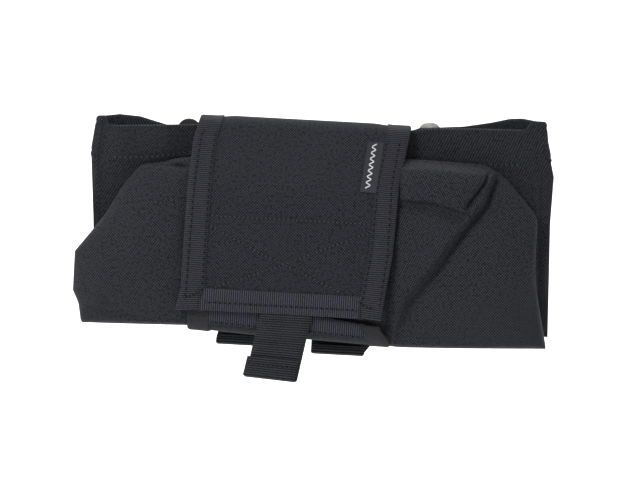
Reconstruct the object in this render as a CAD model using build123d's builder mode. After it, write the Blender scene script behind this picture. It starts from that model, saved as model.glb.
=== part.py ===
"""Folding drop pouch, stowed: the soft bag is folded up behind a bound flap.

Frame: +Z up, +X to the wearer's left as the front is seen, front faces -Y.
Origin: middle of the belt channel, between the two back straps and the rear panel.
"""
from build123d import *
import os

os.makedirs("parts", exist_ok=True)

# ---------------------------------------------------------------- driving dimensions (mm)
webbing_width = 25.0
webbing_thickness = 1.6
tape_proud = 0.7            # binding tape stands this far off the cloth
tape_width = 11.5           # half of a 25 mm tape shows on each face
body_gap = 0.3              # clearance between bodies that move apart

panel_width = 100.0
panel_centre = -1.5
panel_back = -3.2           # back face of the rear panel
panel_top = 49.5
panel_bottom = -51.3
tongue_front = -39.3        # front face of the tongue that turns up under the roll
tongue_edge = -38.0         # height of the tongue's free edge
panel_layers = (0.0, 1.0, 2.0, 2.8)     # outer cloth, stiffener, lining, inner face
panel_radii = [6.0, 9.0]    # bends at the foot of the panel and of the tongue
stiffener_size = (92.0, 86.0)
stiffener_corner = 4.0
stiffener_height = 2.0      # height of the stiffener's middle

flap_front = -43.2          # front face of the flap
flap_top = 53.8
flap_end = -40.5
flap_layers = (0.0, 1.0, 1.8)           # outer cloth, lining, inner face
flap_radii = [3.6, 9.0, 30.0, 30.0]     # its bends, from the back over the top to the front
label_thickness = 0.9
hook_depth = (1.8, 3.3)
loop_depth = (3.7, 5.2)
roll_depth = 5.6            # the folded bag starts this far inside the flap's face

wall_thickness = 1.4        # bag cloth with its seam allowance
bag_back = -7.6
mouth_gap = 6.0
bag_front = bag_back - 2 * wall_thickness - mouth_gap
bag_left, bag_right = -102.0, 121.0
bag_floor = -46.0
side_tops = {"left": 49.0, "right": 57.5}
hem_height = 16.0
hem_proud = 0.8
roll_back = bag_front - hem_proud - 0.4
roll_floor = -47.4
lobe_floor = -51.3
core_top, lobe_top = 36.0, 38.0
core_bend, lobe_bend = 7.0, 9.0         # radii of the roll's lower back edge

strap_pitch = 45.2
strap_centres = {"left": -1.8 - strap_pitch / 2, "right": -1.8 + strap_pitch / 2}
channel_depth = 4.0         # straps stand this far behind the origin
anchor_heights = (33.0, 45.0)
strap_bends = {"start": 30.5, "out": 25.5, "back": -23.0, "in": -29.0}     # heights along a strap
strap_end = -59.0
strap_tuck = 9.0            # a strap's end is turned forward under the panel
strap_lip = 5.0             # and then up, to this height
row_heights = {"upper": (20.0, 45.0), "lower": (-45.0, -20.0)}
row_width = 76.0

snap_height = -36.0
snap_face = 0.6             # inner face of a strap where it snaps shut
snap_post_radius = 2.3
snap_bore_radius = 2.7
snap_cap_radius = 6.25
snap_cap_height = 2.2
snap_cap_round = 1.6
snap_socket_radius = 5.5
snap_socket_height = 1.2
snap_flange_radius = 5.0
snap_flange_height = 0.7
snap_post_height = 2.5
snap_post_round = 0.8
rim_studs = {"left": (-58.4, 46.2), "right": (60.2, 50.1)}
rim_stud_radius = 6.0
rim_post_radius = 2.0
rim_ring_radius = 3.0
rim_ring_height = 0.8

tab_width = webbing_width
tab_top, tab_tip, tab_fold = -41.5, -72.0, -62.0
tab_lean = 5.5              # the tab hangs this far to one side at its tip
tab_middle = -4.7           # middle of the tab where it leaves the flap
tab_face = flap_front + 0.2

deep = 80.0                 # longer than any depth of the pouch


# ---------------------------------------------------------------- helpers
def shifted(points, distance):
    """The same open run of straight lines, moved sideways to its right by distance."""
    lines = []
    for (y0, z0), (y1, z1) in zip(points, points[1:]):
        run = Vector(y1 - y0, z1 - z0).normalized()
        side = Vector(run.Y, -run.X) * distance
        lines.append((Vector(y0, z0) + side, Vector(y1, z1) + side, run))
    moved = [lines[0][0]]
    for (_, corner, before), (start, _, after) in zip(lines, lines[1:]):
        spread = before.X * after.Y - before.Y * after.X
        gap = start - corner
        moved.append(corner + before * ((gap.X * after.Y - gap.Y * after.X) / spread))
    return moved + [lines[-1][1]]


def layer(points, radii, near, far, inward=1):
    """Face of one cloth layer: between the run moved in by near and the run moved in by far.

    inward is 1 where the inside lies to the right of the run, and -1 where it lies to the left.
    """
    with BuildSketch() as face:
        with BuildLine():
            first = FilletPolyline(*shifted(points, inward * near), radius=[r - near for r in radii])
            last = FilletPolyline(*shifted(points, inward * far), radius=[r - far for r in radii])
            Line(first @ 0, last @ 0)
            Line(first @ 1, last @ 1)
        make_face()
    return face.sketch


def across(face, low, high):
    """A YZ face laid from X = low to X = high."""
    with BuildPart() as run:
        with BuildSketch(Plane.YZ.offset(low)):
            add(face)
        extrude(amount=high - low)
    return run.part


def front_cut(points, near=deep, far=-deep):
    """An XZ outline cut through from Y = near to Y = far."""
    with BuildPart() as cut:
        with BuildSketch(Plane.XZ.offset(-near)):
            with BuildLine():
                Polyline(*points, close=True)
            make_face()
        extrude(amount=near - far)
    return cut.part


def plan_cut(points):
    """An XY outline cut through the whole height."""
    with BuildPart() as cut:
        with BuildSketch(Plane.XY.offset(-deep)):
            with BuildLine():
                Polyline(*points, close=True)
            make_face()
        extrude(amount=2 * deep)
    return cut.part


def save(piece, name):
    piece.part.label = name
    export_step(piece.part, f"parts/{name}.step")


# ---------------------------------------------------------------- rear panel and its tongue
# The panel hangs down the back, turns under the roll and ends in a short tongue in front.
panel_run = [
    (panel_back, panel_top),
    (panel_back, panel_bottom),
    (tongue_front, panel_bottom),
    (tongue_front, tongue_edge),
]
panel_low = panel_centre - panel_width / 2
panel_high = panel_centre + panel_width / 2
outer_face, stiffener_face, lining_face, inner_face = panel_layers

with BuildPart() as panel_outer:
    add(across(layer(panel_run, panel_radii, outer_face, stiffener_face), panel_low, panel_high))
save(panel_outer, "panel_outer")

with BuildPart() as panel_lining:
    add(across(layer(panel_run, panel_radii, lining_face, inner_face), panel_low, panel_high))
save(panel_lining, "panel_lining")

# A flat plastic sheet keeps the back of the panel stiff.
with BuildPart() as panel_stiffener:
    with BuildSketch(Plane.XZ.offset(-(panel_back - stiffener_face))):
        with Locations((panel_centre, stiffener_height)):
            RectangleRounded(*stiffener_size, stiffener_corner)
    extrude(amount=lining_face - stiffener_face)
save(panel_stiffener, "panel_stiffener")

panel_core = across(
    layer(panel_run, panel_radii, outer_face, inner_face), panel_low, panel_high
)
binding_face = layer(panel_run, panel_radii, -tape_proud, inner_face + tape_proud)
panel_tapes = {
    "left": (panel_low - tape_proud, panel_low + tape_width),
    "right": (panel_high - tape_width, panel_high + tape_proud),
}
for side, (low, high) in panel_tapes.items():
    with BuildPart() as panel_binding:
        add(across(binding_face, low, high))
        add(panel_core, mode=Mode.SUBTRACT)
    save(panel_binding, f"panel_binding_{side}")

# The tape over the tongue's free edge runs between the two side tapes.
tape_top = tongue_edge + tape_proud
tape_run = panel_run[:-1] + [(tongue_front, tape_top)]
tape_face = layer(tape_run, panel_radii, -tape_proud, inner_face + tape_proud)
tape_low, tape_high = panel_tapes["left"][1], panel_tapes["right"][0]
tape_outline = [(tape_low, tape_top - tape_width), (tape_high, tape_top - tape_width),
                (tape_high, tape_top), (tape_low, tape_top)]
with BuildPart() as tongue_binding:
    add(across(tape_face, tape_low, tape_high))
    add(front_cut(tape_outline, near=tongue_front / 2), mode=Mode.INTERSECT)
    add(panel_core, mode=Mode.SUBTRACT)
save(tongue_binding, "tongue_binding")

# Two rows of webbing sewn across the back carry the straps.
for row, (low, high) in row_heights.items():
    with BuildPart() as webbing_row:
        with BuildSketch(Plane.XZ.offset(-(panel_back + webbing_thickness))):
            with Locations((panel_centre, (low + high) / 2)):
                Rectangle(row_width, high - low)
        extrude(amount=webbing_thickness)
    save(webbing_row, f"webbing_row_{row}")

# ---------------------------------------------------------------- straps and their snaps
row_face = panel_back + webbing_thickness
anchor_low, anchor_high = anchor_heights
strap_run = [
    (row_face + webbing_thickness, anchor_low - body_gap),
    (row_face + webbing_thickness, strap_bends["start"]),
    (channel_depth + webbing_thickness, strap_bends["out"]),
    (channel_depth + webbing_thickness, strap_bends["back"]),
    (snap_face + webbing_thickness, strap_bends["in"]),
    (snap_face + webbing_thickness, strap_end),
    (snap_face - strap_tuck, strap_end),
    (snap_face - strap_tuck, strap_end + strap_lip),
]


def strap_face():
    """Side view of a strap: out over the belt channel, back in to its snap, then tucked under the panel."""
    outer = strap_run
    inner = shifted(strap_run, webbing_thickness)
    with BuildSketch() as face:
        with BuildLine():
            Polyline(*outer)
            Polyline(*inner)
            Line(outer[0], inner[0])
            Line(outer[-1], inner[-1])
        make_face()
    return face.sketch


for side, centre in strap_centres.items():
    edge = centre - webbing_width / 2
    snap_at = (centre, snap_height)

    with BuildPart() as strap_anchor:
        with BuildSketch(Plane.XZ.offset(-(row_face + webbing_thickness))):
            with Locations((centre, (anchor_low + anchor_high) / 2)):
                Rectangle(webbing_width, anchor_high - anchor_low)
        extrude(amount=webbing_thickness)
    save(strap_anchor, f"strap_anchor_{side}")

    with BuildPart() as strap:
        add(across(strap_face(), edge, edge + webbing_width))
        with BuildSketch(Plane.XZ.offset(-(snap_face + webbing_thickness))):
            with Locations(snap_at):
                Circle(snap_bore_radius)
        extrude(amount=webbing_thickness, mode=Mode.SUBTRACT)
    save(strap, f"strap_{side}")

    with BuildPart() as snap_cap:
        with BuildSketch(Plane.XZ.offset(-(snap_face + webbing_thickness))):
            with Locations(snap_at):
                Circle(snap_cap_radius)
        extrude(amount=-snap_cap_height)
        fillet(snap_cap.edges().filter_by(GeomType.CIRCLE).sort_by(Axis.Y)[-1], snap_cap_round)
    save(snap_cap, f"snap_cap_{side}")

    with BuildPart() as snap_socket:
        with BuildSketch(Plane.XZ.offset(-snap_face)):
            with Locations(snap_at):
                Circle(snap_socket_radius)
                Circle(snap_bore_radius, mode=Mode.SUBTRACT)
        extrude(amount=snap_socket_height)
    save(snap_socket, f"snap_socket_{side}")

    with BuildPart() as snap_stud:
        with BuildSketch(Plane.XZ.offset(-row_face)):
            with Locations(snap_at):
                Circle(snap_flange_radius)
        extrude(amount=-snap_flange_height)
        with BuildSketch(Plane.XZ.offset(-row_face)):
            with Locations(snap_at):
                Circle(snap_post_radius)
        extrude(amount=-snap_post_height)
        fillet(snap_stud.edges().filter_by(GeomType.CIRCLE).sort_by(Axis.Y)[-1], snap_post_round)
    save(snap_stud, f"snap_stud_{side}")

# ---------------------------------------------------------------- bag walls round the mouth
# Both rims dip under the flap and stand up beside it, the right end higher than the left.
front_rim = [(-100.6, 46.8), (-75, 48), (-54, 49.6), (-50, 50.2), (50, 50.2), (54, 52.6), (65, 54.3),
             (94, 56), (119.6, 55.6)]
back_rim = [(-100.6, 50), (-96, 52), (-84, 52.2), (-72, 50), (-50, 50.2), (50, 50.2), (65, 54.9),
            (84, 57.3), (99, 60), (119.6, 60.4)]


def wall_outline(rim):
    return [(rim[0][0], bag_floor)] + rim + [(rim[-1][0], bag_floor)]


def hem_outline(rim):
    return rim + [(x, z - hem_height) for x, z in reversed(rim)]


def rim_post_bores():
    """The rim studs' posts, to be taken out of the back wall and its hem."""
    with BuildPart() as bores:
        with BuildSketch(Plane.XZ):
            with Locations(*rim_studs.values()):
                Circle(rim_post_radius)
        extrude(amount=deep)
    return bores.part


front_wall_back = bag_front + wall_thickness
with BuildPart() as bag_front_wall:
    add(front_cut(wall_outline(front_rim), front_wall_back, bag_front))
save(bag_front_wall, "bag_front_wall")

with BuildPart() as bag_back_wall:
    add(front_cut(wall_outline(back_rim), bag_back, bag_back - wall_thickness))
    add(rim_post_bores(), mode=Mode.SUBTRACT)
save(bag_back_wall, "bag_back_wall")

with BuildPart() as mouth_hem_front:
    add(front_cut(hem_outline(front_rim), bag_front, bag_front - hem_proud))
save(mouth_hem_front, "mouth_hem_front")

with BuildPart() as mouth_hem_back:
    add(front_cut(hem_outline(back_rim), bag_back + hem_proud, bag_back))
    add(rim_post_bores(), mode=Mode.SUBTRACT)
save(mouth_hem_back, "mouth_hem_back")

side_walls = {"left": (bag_left, front_rim[0][0]), "right": (front_rim[-1][0], bag_right)}
for side, (low, high) in side_walls.items():
    top = side_tops[side]
    with BuildPart() as bag_side:
        add(front_cut([(low, bag_floor), (high, bag_floor), (high, top), (low, top)], bag_back, bag_front))
    save(bag_side, f"bag_side_{side}")

# A strip of bag cloth closes the foot of the two walls.
with BuildPart() as bag_floor_strip:
    foot = [(front_rim[0][0], bag_floor), (front_rim[-1][0], bag_floor),
            (front_rim[-1][0], bag_floor + wall_thickness), (front_rim[0][0], bag_floor + wall_thickness)]
    add(front_cut(foot, bag_back - wall_thickness, front_wall_back))
save(bag_floor_strip, "bag_floor_strip")

# One press stud through the back rim on each side of the flap.
for side, (x, z) in rim_studs.items():
    with BuildPart() as rim_stud:
        with BuildSketch(Plane.XZ.offset(-(bag_back + hem_proud))):
            with Locations((x, z)):
                Circle(rim_stud_radius)
        extrude(amount=-snap_cap_height)
        fillet(rim_stud.edges().filter_by(GeomType.CIRCLE).sort_by(Axis.Y)[-1], snap_cap_round)
        with BuildSketch(Plane.XZ.offset(-(bag_back + hem_proud))):
            with Locations((x, z)):
                Circle(rim_post_radius)
        extrude(amount=hem_proud + wall_thickness)
        with BuildSketch(Plane.XZ.offset(-(bag_back - wall_thickness))):
            with Locations((x, z)):
                Circle(rim_ring_radius)
        extrude(amount=rim_ring_height)
    save(rim_stud, f"rim_stud_{side}")

# ---------------------------------------------------------------- flap
flap_run = [
    (panel_back, panel_top + body_gap),
    (panel_back, flap_top),
    (-20.0, flap_top),
    (-38.0, 20.0),
    (flap_front, -8.0),
    (flap_front, flap_end),
]
# The flap lies a little askew: its lower end has slid to the left.
above, below = 60.0, -60.0
front_run, front_radii = flap_run[2:], flap_radii[2:]     # the stretch down the front
flap_sides = {
    "left": [(-51.0, above), (-53.4, 44.0), (-57.0, below)],
    "right": [(51.0, above), (49.2, 44.0), (39.0, below)],
}
flap_outline = flap_sides["left"] + flap_sides["right"][::-1]


def beside(points, low, high):
    """Strip that follows an edge from low to high beside it."""
    return [(x + low, z) for x, z in points] + [(x + high, z) for x, z in reversed(points)]


def flap_edge(side, height):
    """X of the flap's side edge at a height on its lower stretch."""
    _, (x0, z0), (x1, z1) = flap_sides[side]
    return x0 + (x1 - x0) * (z0 - height) / (z0 - z1)


def flap_band(near, far, outline, run=flap_run, radii=flap_radii):
    """Part of a flap layer between two depths, inside an outline seen from the front."""
    with BuildPart() as band:
        add(across(layer(run, radii, near, far, inward=-1), -deep, deep))
        add(front_cut(outline), mode=Mode.INTERSECT)
    return band.part


outer_depth, lining_depth, inner_depth = flap_layers
with BuildPart() as flap_outer:
    add(flap_band(outer_depth, lining_depth, flap_outline))
save(flap_outer, "flap_outer")

with BuildPart() as flap_lining:
    add(flap_band(lining_depth, inner_depth, flap_outline))
save(flap_lining, "flap_lining")

flap_core = flap_band(outer_depth, inner_depth, flap_outline)
flap_tapes = {
    "left": beside(flap_sides["left"], -tape_proud, tape_width),
    "right": beside(flap_sides["right"], -tape_width, tape_proud),
}
for side, strip in flap_tapes.items():
    with BuildPart() as flap_binding:
        add(flap_band(-tape_proud, inner_depth + tape_proud, strip))
        add(flap_core, mode=Mode.SUBTRACT)
    save(flap_binding, f"flap_binding_{side}")

# The tape over the flap's lower edge stops at the two side tapes.
end_run = flap_run[:-1] + [(flap_front, flap_end - tape_proud)]
end_low = flap_end - tape_proud
end_high = flap_end + tape_width - tape_proud
end_strip = [
    (flap_edge("left", end_low) + tape_width, end_low),
    (flap_edge("right", end_low) - tape_width, end_low),
    (flap_edge("right", end_high) - tape_width, end_high),
    (flap_edge("left", end_high) + tape_width, end_high),
]
with BuildPart() as flap_binding_end:
    add(flap_band(-tape_proud, inner_depth + tape_proud, end_strip, end_run))
    add(flap_core, mode=Mode.SUBTRACT)
save(flap_binding_end, "flap_binding_end")

hook_outline = [(-43.0, -28.0), (29.5, -28.0), (32.8, 5.0), (-42.5, 5.0)]
with BuildPart() as hook_patch:
    add(flap_band(*hook_depth, hook_outline, front_run, front_radii))
save(hook_patch, "hook_patch")

# A folded label, caught under the right side tape.
label_outline = [(27.8, 21.0), (35.0, 21.0), (37.0, 45.2), (30.0, 45.2)]
with BuildPart() as side_label:
    add(flap_band(-label_thickness, 0.0, label_outline, front_run, front_radii))
save(side_label, "side_label")

# ---------------------------------------------------------------- pull tab
tab_back = tab_face + webbing_thickness
tab_left_top = tab_middle - tab_width / 2
fold_share = (tab_top - tab_fold) / (tab_top - tab_tip)


def tab_outline(high, low, high_share, low_share):
    """The leaning tab between two heights; a share is how far along its lean each one is."""
    high_left = tab_left_top - tab_lean * high_share
    low_left = tab_left_top - tab_lean * low_share
    return [(high_left, high), (high_left + tab_width, high), (low_left + tab_width, low), (low_left, low)]


with BuildPart() as pull_tab:
    add(front_cut(tab_outline(tab_top, tab_tip, 0.0, 1.0), tab_back, tab_face))
    # its end is folded forward and sewn down
    add(front_cut(tab_outline(tab_fold, tab_tip, fold_share, 1.0), tab_face, tab_face - webbing_thickness))
save(pull_tab, "pull_tab")

# ---------------------------------------------------------------- folded bag under the flap
loop_outline = [(-44.5, -30.0), (33.0, -30.0), (35.0, 8.0), (-44.0, 8.0)]
with BuildPart() as loop_patch:
    add(flap_band(*loop_depth, loop_outline, front_run, front_radii))
save(loop_patch, "loop_patch")

# Side view of the space inside the flap, down to the bend of the panel.
front_line = shifted(front_run, -roll_depth)[:3]
section_back, section_front = front_line[0].X, front_line[-1].X
core_section = [*front_line, (section_front, -26.0), (-35.4, -37.0), (-35.4, roll_floor),
                (section_back, roll_floor)]
lobe_section = [*front_line, (section_front, lobe_floor), (section_back, lobe_floor)]


def roll_piece(section, outline, plan, top, floor_radius):
    """A length of the roll: its side view, cut to a front outline and a plan."""
    with BuildPart() as piece:
        with BuildSketch(Plane.YZ.offset(-2 * deep)):
            with BuildLine():
                Polyline(*section, close=True)
            make_face()
            fillet(vertices().sort_by(Axis.Y)[:2].sort_by(Axis.X)[0], floor_radius)
        extrude(amount=4 * deep)
        add(front_cut(outline), mode=Mode.INTERSECT)
        add(plan_cut(plan), mode=Mode.INTERSECT)
        split(bisect_by=Plane.XY.offset(top), keep=Keep.BOTTOM)
    return piece.part


core_left, core_right = panel_low - tape_proud - 0.5, panel_high + tape_proud + 0.5
core_outline = [(core_left, below), (core_right, below), (core_right, above), (core_left, above)]
core_plan = [(core_left, roll_back), (core_right, roll_back), (core_right, -deep), (core_left, -deep)]
with BuildPart() as roll_core:
    add(roll_piece(core_section, core_outline, core_plan, core_top, core_bend))
save(roll_core, "roll_core")

lobe_outlines = {
    "left": [(core_left, 29.0), (-76.0, 29.0), (-84.0, 21.0), (-95.0, 2.0), (-108.4, -15.0),
             (-108.4, -34.0), (-103.8, -48.6), (core_left, -48.6)],
    "right": [(core_right, 38.0), (86.0, 37.0), (98.0, 31.0), (115.0, 10.5), (115.5, -8.0),
              (120.5, -50.0), (core_right, lobe_floor)],
}
lobe_plans = {
    "left": [(core_left, roll_back), (-102.0, roll_back), (-108.4, -21.0), (-108.4, -27.0),
             (-97.0, -35.0), (-76.0, -38.5), (core_left, -39.5)],
    "right": [(core_right, roll_back), (114.0, roll_back), (121.0, -21.0), (121.0, -27.0),
              (110.0, -35.0), (88.0, -38.5), (core_right, -39.5)],
}
for side in ("left", "right"):
    with BuildPart() as bag_lobe:
        add(roll_piece(lobe_section, lobe_outlines[side], lobe_plans[side], lobe_top, lobe_bend))
    save(bag_lobe, f"bag_lobe_{side}")
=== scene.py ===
"""Folding drop pouch, stowed: the looks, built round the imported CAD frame.

Shapes are worked out in millimetres in the frame's own axes and turned into metres when a mesh is made.
"""
import math

import bmesh
import bpy
import numpy as np
from mathutils import Matrix, Vector
from mathutils.bvhtree import BVHTree


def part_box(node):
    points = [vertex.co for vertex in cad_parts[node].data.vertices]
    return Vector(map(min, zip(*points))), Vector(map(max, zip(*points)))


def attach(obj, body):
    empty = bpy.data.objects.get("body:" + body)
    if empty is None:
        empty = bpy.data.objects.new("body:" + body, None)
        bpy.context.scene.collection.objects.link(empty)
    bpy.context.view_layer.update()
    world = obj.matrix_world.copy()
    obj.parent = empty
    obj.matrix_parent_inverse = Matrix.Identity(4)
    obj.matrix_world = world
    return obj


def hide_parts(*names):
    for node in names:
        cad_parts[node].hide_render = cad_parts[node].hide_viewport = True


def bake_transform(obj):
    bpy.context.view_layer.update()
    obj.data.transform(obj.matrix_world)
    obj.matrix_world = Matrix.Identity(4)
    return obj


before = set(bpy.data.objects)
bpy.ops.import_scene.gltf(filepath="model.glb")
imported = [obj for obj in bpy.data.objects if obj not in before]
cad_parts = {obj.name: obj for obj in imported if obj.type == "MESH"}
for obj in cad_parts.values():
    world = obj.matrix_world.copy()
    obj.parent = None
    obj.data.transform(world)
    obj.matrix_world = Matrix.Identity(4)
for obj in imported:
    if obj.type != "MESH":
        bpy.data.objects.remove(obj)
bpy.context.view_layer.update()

MM = 0.001
FRONT, BACK = -1.0, 1.0


def box_mm(node):
    """Lowest and highest corner of a CAD node, in millimetres."""
    low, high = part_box(node)
    return np.array(low) / MM, np.array(high) / MM


# ---------------------------------------------------------------- sizes read from the frame
flap_low, flap_high = box_mm("flap_outer")
panel_low, panel_high = box_mm("panel_outer")
bag_low, bag_high = box_mm("bag_back_wall")
tab_low, tab_high = box_mm("pull_tab")

cloth = 1.0                  # thickness of the coarse cloth
tape_lift = 0.7              # thickness of the binding tape
tape_show = 10.7             # tape that shows on each face of the flap
panel_tape_show = 9.8        # and of the panel
tape_rib, tape_rib_depth = 1.04, 0.22      # pitch and depth of the tape's ribs
smooth_rib_depth = 0.05      # and of the smoother tape round the panel
web = 1.6                    # thickness of the webbing
web_width = 25.0
web_rib, web_rib_depth = 1.25, 0.16
lining = 0.8
flap_thick = cloth + lining
panel_thick = 2.8            # with the stiffener between cloth and lining
flap_front, flap_top, flap_end = flap_low[1], flap_high[2], flap_low[2]
panel_back, panel_foot = panel_high[1], panel_low[2]
tongue_front, tongue_top = panel_low[1], box_mm("tongue_binding")[1][2] - tape_lift


# ---------------------------------------------------------------- curves and noise
def spread(points, step):
    """The same line with points every step, ends kept."""
    points = np.asarray(points, float)
    runs = np.linalg.norm(np.diff(points, axis=0), axis=1)
    along = np.concatenate([[0], np.cumsum(runs)])
    count = max(2, int(round(along[-1] / step)) + 1)
    wanted = np.linspace(0, along[-1], count)
    return np.stack([np.interp(wanted, along, points[:, k]) for k in range(points.shape[1])], 1)


def smooth_line(points, step):
    """A smooth line through a few points."""
    p = np.asarray(points, float)
    ends = np.vstack([2 * p[0] - p[1], p, 2 * p[-1] - p[-2]])
    pieces = []
    for a, b, c, d in zip(ends, ends[1:], ends[2:], ends[3:]):
        t = np.linspace(0, 1, 24, endpoint=False)[:, None]
        pieces.append(0.5 * (2 * b + (c - a) * t + (2 * a - 5 * b + 4 * c - d) * t**2
                             + (3 * b - a - 3 * c + d) * t**3))
    return spread(np.vstack(pieces + [p[-1:]]), step)


def rounded(points, radii, step):
    """Straight runs joined by arcs, with points every step."""
    p = [np.asarray(q, float) for q in points]
    line = [p[0]]
    for before, corner, after, radius in zip(p, p[1:], p[2:], radii):
        u, v = before - corner, after - corner
        u, v = u / np.linalg.norm(u), v / np.linalg.norm(v)
        half = math.acos(float(np.clip(u @ v, -1, 1))) / 2
        reach = radius / math.tan(half)
        centre = corner + (u + v) / np.linalg.norm(u + v) * radius / math.sin(half)
        a, b = corner + u * reach - centre, corner + v * reach - centre
        angle = math.acos(float(np.clip(a @ b / radius**2, -1, 1)))
        for t in np.linspace(0, 1, max(4, int(angle * radius / 0.5))):
            line.append(centre + (a * math.sin((1 - t) * angle) + b * math.sin(t * angle)) / math.sin(angle))
    return spread(np.array(line + [p[-1]]), step)


def ramp(x, low, high):
    """0 below low, 1 above high, smooth between."""
    t = np.clip((np.asarray(x, float) - low) / (high - low), 0, 1)
    return t * t * (3 - 2 * t)


def ripple(x, y, size, seed):
    """Smooth noise from -1 to 1 with features of about the given size."""
    table = np.random.RandomState(seed).uniform(-1, 1, (97, 97))
    gx, gy = np.asarray(x, float) / size + 40, np.asarray(y, float) / size + 40
    ix, iy = np.floor(gx).astype(int), np.floor(gy).astype(int)
    fx, fy = gx - ix, gy - iy
    fx, fy = fx * fx * (3 - 2 * fx), fy * fy * (3 - 2 * fy)
    cell = lambda i, j: table[i % 97, j % 97]
    return ((cell(ix, iy) * (1 - fx) + cell(ix + 1, iy) * fx) * (1 - fy)
            + (cell(ix, iy + 1) * (1 - fx) + cell(ix + 1, iy + 1) * fx) * fy)


def to_line(x, z, line):
    """Distance from points to a broken line, and on which side they lie (1 is left of it)."""
    best = np.full(np.shape(x), 1e9)
    side = np.ones(np.shape(x))
    for (ax, az), (bx, bz) in zip(line, line[1:]):
        dx, dz = bx - ax, bz - az
        t = np.clip(((x - ax) * dx + (z - az) * dz) / (dx * dx + dz * dz), 0, 1)
        ox, oz = x - ax - t * dx, z - az - t * dz
        distance = np.hypot(ox, oz)
        nearer = distance < best
        best = np.where(nearer, distance, best)
        side = np.where(nearer, np.sign(dx * oz - dz * ox + 1e-12), side)
    return best, side


def groove(x, z, line, depth, width):
    """How far a seam pulls the cloth in."""
    return depth * np.exp(-(to_line(x, z, line)[0] / width) ** 2)


# ---------------------------------------------------------------- meshes
def mesh_object(name, points, faces, weave, sharp=38):
    """A closed mesh from points in millimetres; weave holds where each point lies on its flat cloth."""
    mesh = bpy.data.meshes.new(name)
    mesh.from_pydata((np.asarray(points) * MM).tolist(), [], faces)
    mesh.validate()
    where = mesh.attributes.new("weave", "FLOAT_VECTOR", "POINT")
    flat = np.zeros((len(points), 3), np.float32)
    flat[:, : np.shape(weave)[1]] = weave
    where.data.foreach_set("vector", flat.ravel())
    mesh.polygons.foreach_set("use_smooth", [True] * len(mesh.polygons))
    mesh.set_sharp_from_angle(angle=math.radians(sharp))
    made = bpy.data.objects.new(name, mesh)
    bpy.context.scene.collection.objects.link(made)
    return made


def grid_faces(rows, columns, start=0, closed=False, flip=False):
    faces = []
    last = columns if closed else columns - 1
    for i in range(rows - 1):
        for j in range(last):
            a, b = start + i * columns + j, start + i * columns + (j + 1) % columns
            quad = (a, b, b + columns, a + columns)
            faces.append(quad[::-1] if flip else quad)
    return faces


def upright(made):
    """Turns a closed mesh's faces outward."""
    work = bmesh.new()
    work.from_mesh(made.data)
    bmesh.ops.recalc_face_normals(work, faces=work.faces)
    work.to_mesh(made.data)
    work.free()
    return made


def flat_section(width, thickness, steps=10):
    """Section of a webbing strap lying on its inner face: rounded edges, ribbed faces."""
    half, edge = width / 2, thickness / 2
    top = [(x, thickness, 1.0) for x in np.linspace(-half + edge, half - edge, steps)]
    bottom = [(x, 0.0, -1.0) for x in np.linspace(half - edge, -half + edge, steps)]
    right = [(half, edge, 0.0)]
    left = [(-half, edge, 0.0)]
    return top + right + bottom + left


def folded_tape(thickness, show, lift):
    """Section of a tape folded over a cloth edge: across runs inward from the edge, outward off the cloth."""
    outer = [(a, lift, 1.0) for a in np.linspace(show, 0.4, 7)]
    fold = [(-lift * 0.75, lift * 0.35, 0.5), (-lift, -thickness / 2, 0.3),
            (-lift * 0.75, -thickness - lift * 0.35, -0.5)]
    inner = [(a, -thickness - lift, -1.0) for a in np.linspace(0.4, show, 7)]
    return [(show, 0.0, 0.0)] + outer + fold + inner + [(show, -thickness, 0.0)]


def end_caps(rows, columns, start=0):
    """The two end faces of a closed grid."""
    last = start + (rows - 1) * columns
    return [tuple(range(start, start + columns))[::-1], tuple(range(last, last + columns))]


def turned(name, profile, centre, facing, ring=False, around=40):
    """A turned piece: profile holds (radius, height), all round for a ring; facing is where its height points."""
    turns = np.linspace(0, 2 * math.pi, around, endpoint=False)
    points = [(centre[0] + radius * math.cos(t), centre[1] + facing * height, centre[2] + radius * math.sin(t))
              for radius, height in profile for t in turns]
    faces = grid_faces(len(profile), around, closed=True)
    if ring:
        last = (len(profile) - 1) * around
        faces += [(last + j, last + (j + 1) % around, (j + 1) % around, j) for j in range(around)]
    else:
        faces += end_caps(len(profile), around)
    return upright(mesh_object(name, points, faces, np.array(points)[:, [0, 2]], 30))


def stitches(name, runs, pitch=2.65, radius=0.3):
    """Rows of thread stitches. Each run is (points, outward) with one outward direction per point."""
    corners = 6
    ring = [(math.cos(t), math.sin(t)) for t in np.linspace(0, 2 * math.pi, corners, endpoint=False)]
    half = [(-0.5, -0.35, 0.9), (-0.42, 0.0, 1.25), (-0.33, 0.1, 1.1), (-0.22, 0.35, 0.85), (0.0, 0.55, 0.9)]
    shape = half + [(-step, height, wide) for step, height, wide in half[-2::-1]]
    length = pitch * 0.97
    points, faces, weave = [], [], []
    for line, outward in runs:
        line = np.asarray(line, float)
        along = np.concatenate([[0], np.cumsum(np.linalg.norm(np.diff(line, axis=0), axis=1))])
        at = lambda s, source: np.array([np.interp(s, along, source[:, k]) for k in range(3)])
        for s in np.arange(pitch / 2, along[-1], pitch):
            middle, up = at(s, line), at(s, outward)
            run = at(min(s + 0.4, along[-1]), line) - at(max(s - 0.4, 0), line)
            run, up = run / np.linalg.norm(run), up / np.linalg.norm(up)
            side = np.cross(run, up)
            start = len(points)
            for step, height, wide in shape:
                for c, d in ring:
                    off = up * radius * (height + 0.8 * d * min(wide, 1.0)) + side * c * radius * wide
                    points.append(middle + run * step * length + off)
                    weave.append((s + step * length, c, step))
            faces += grid_faces(len(shape), corners, start, closed=True)
            faces += end_caps(len(shape), corners, start)
    return upright(mesh_object(name, points, faces, np.array(weave), 60))


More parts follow.
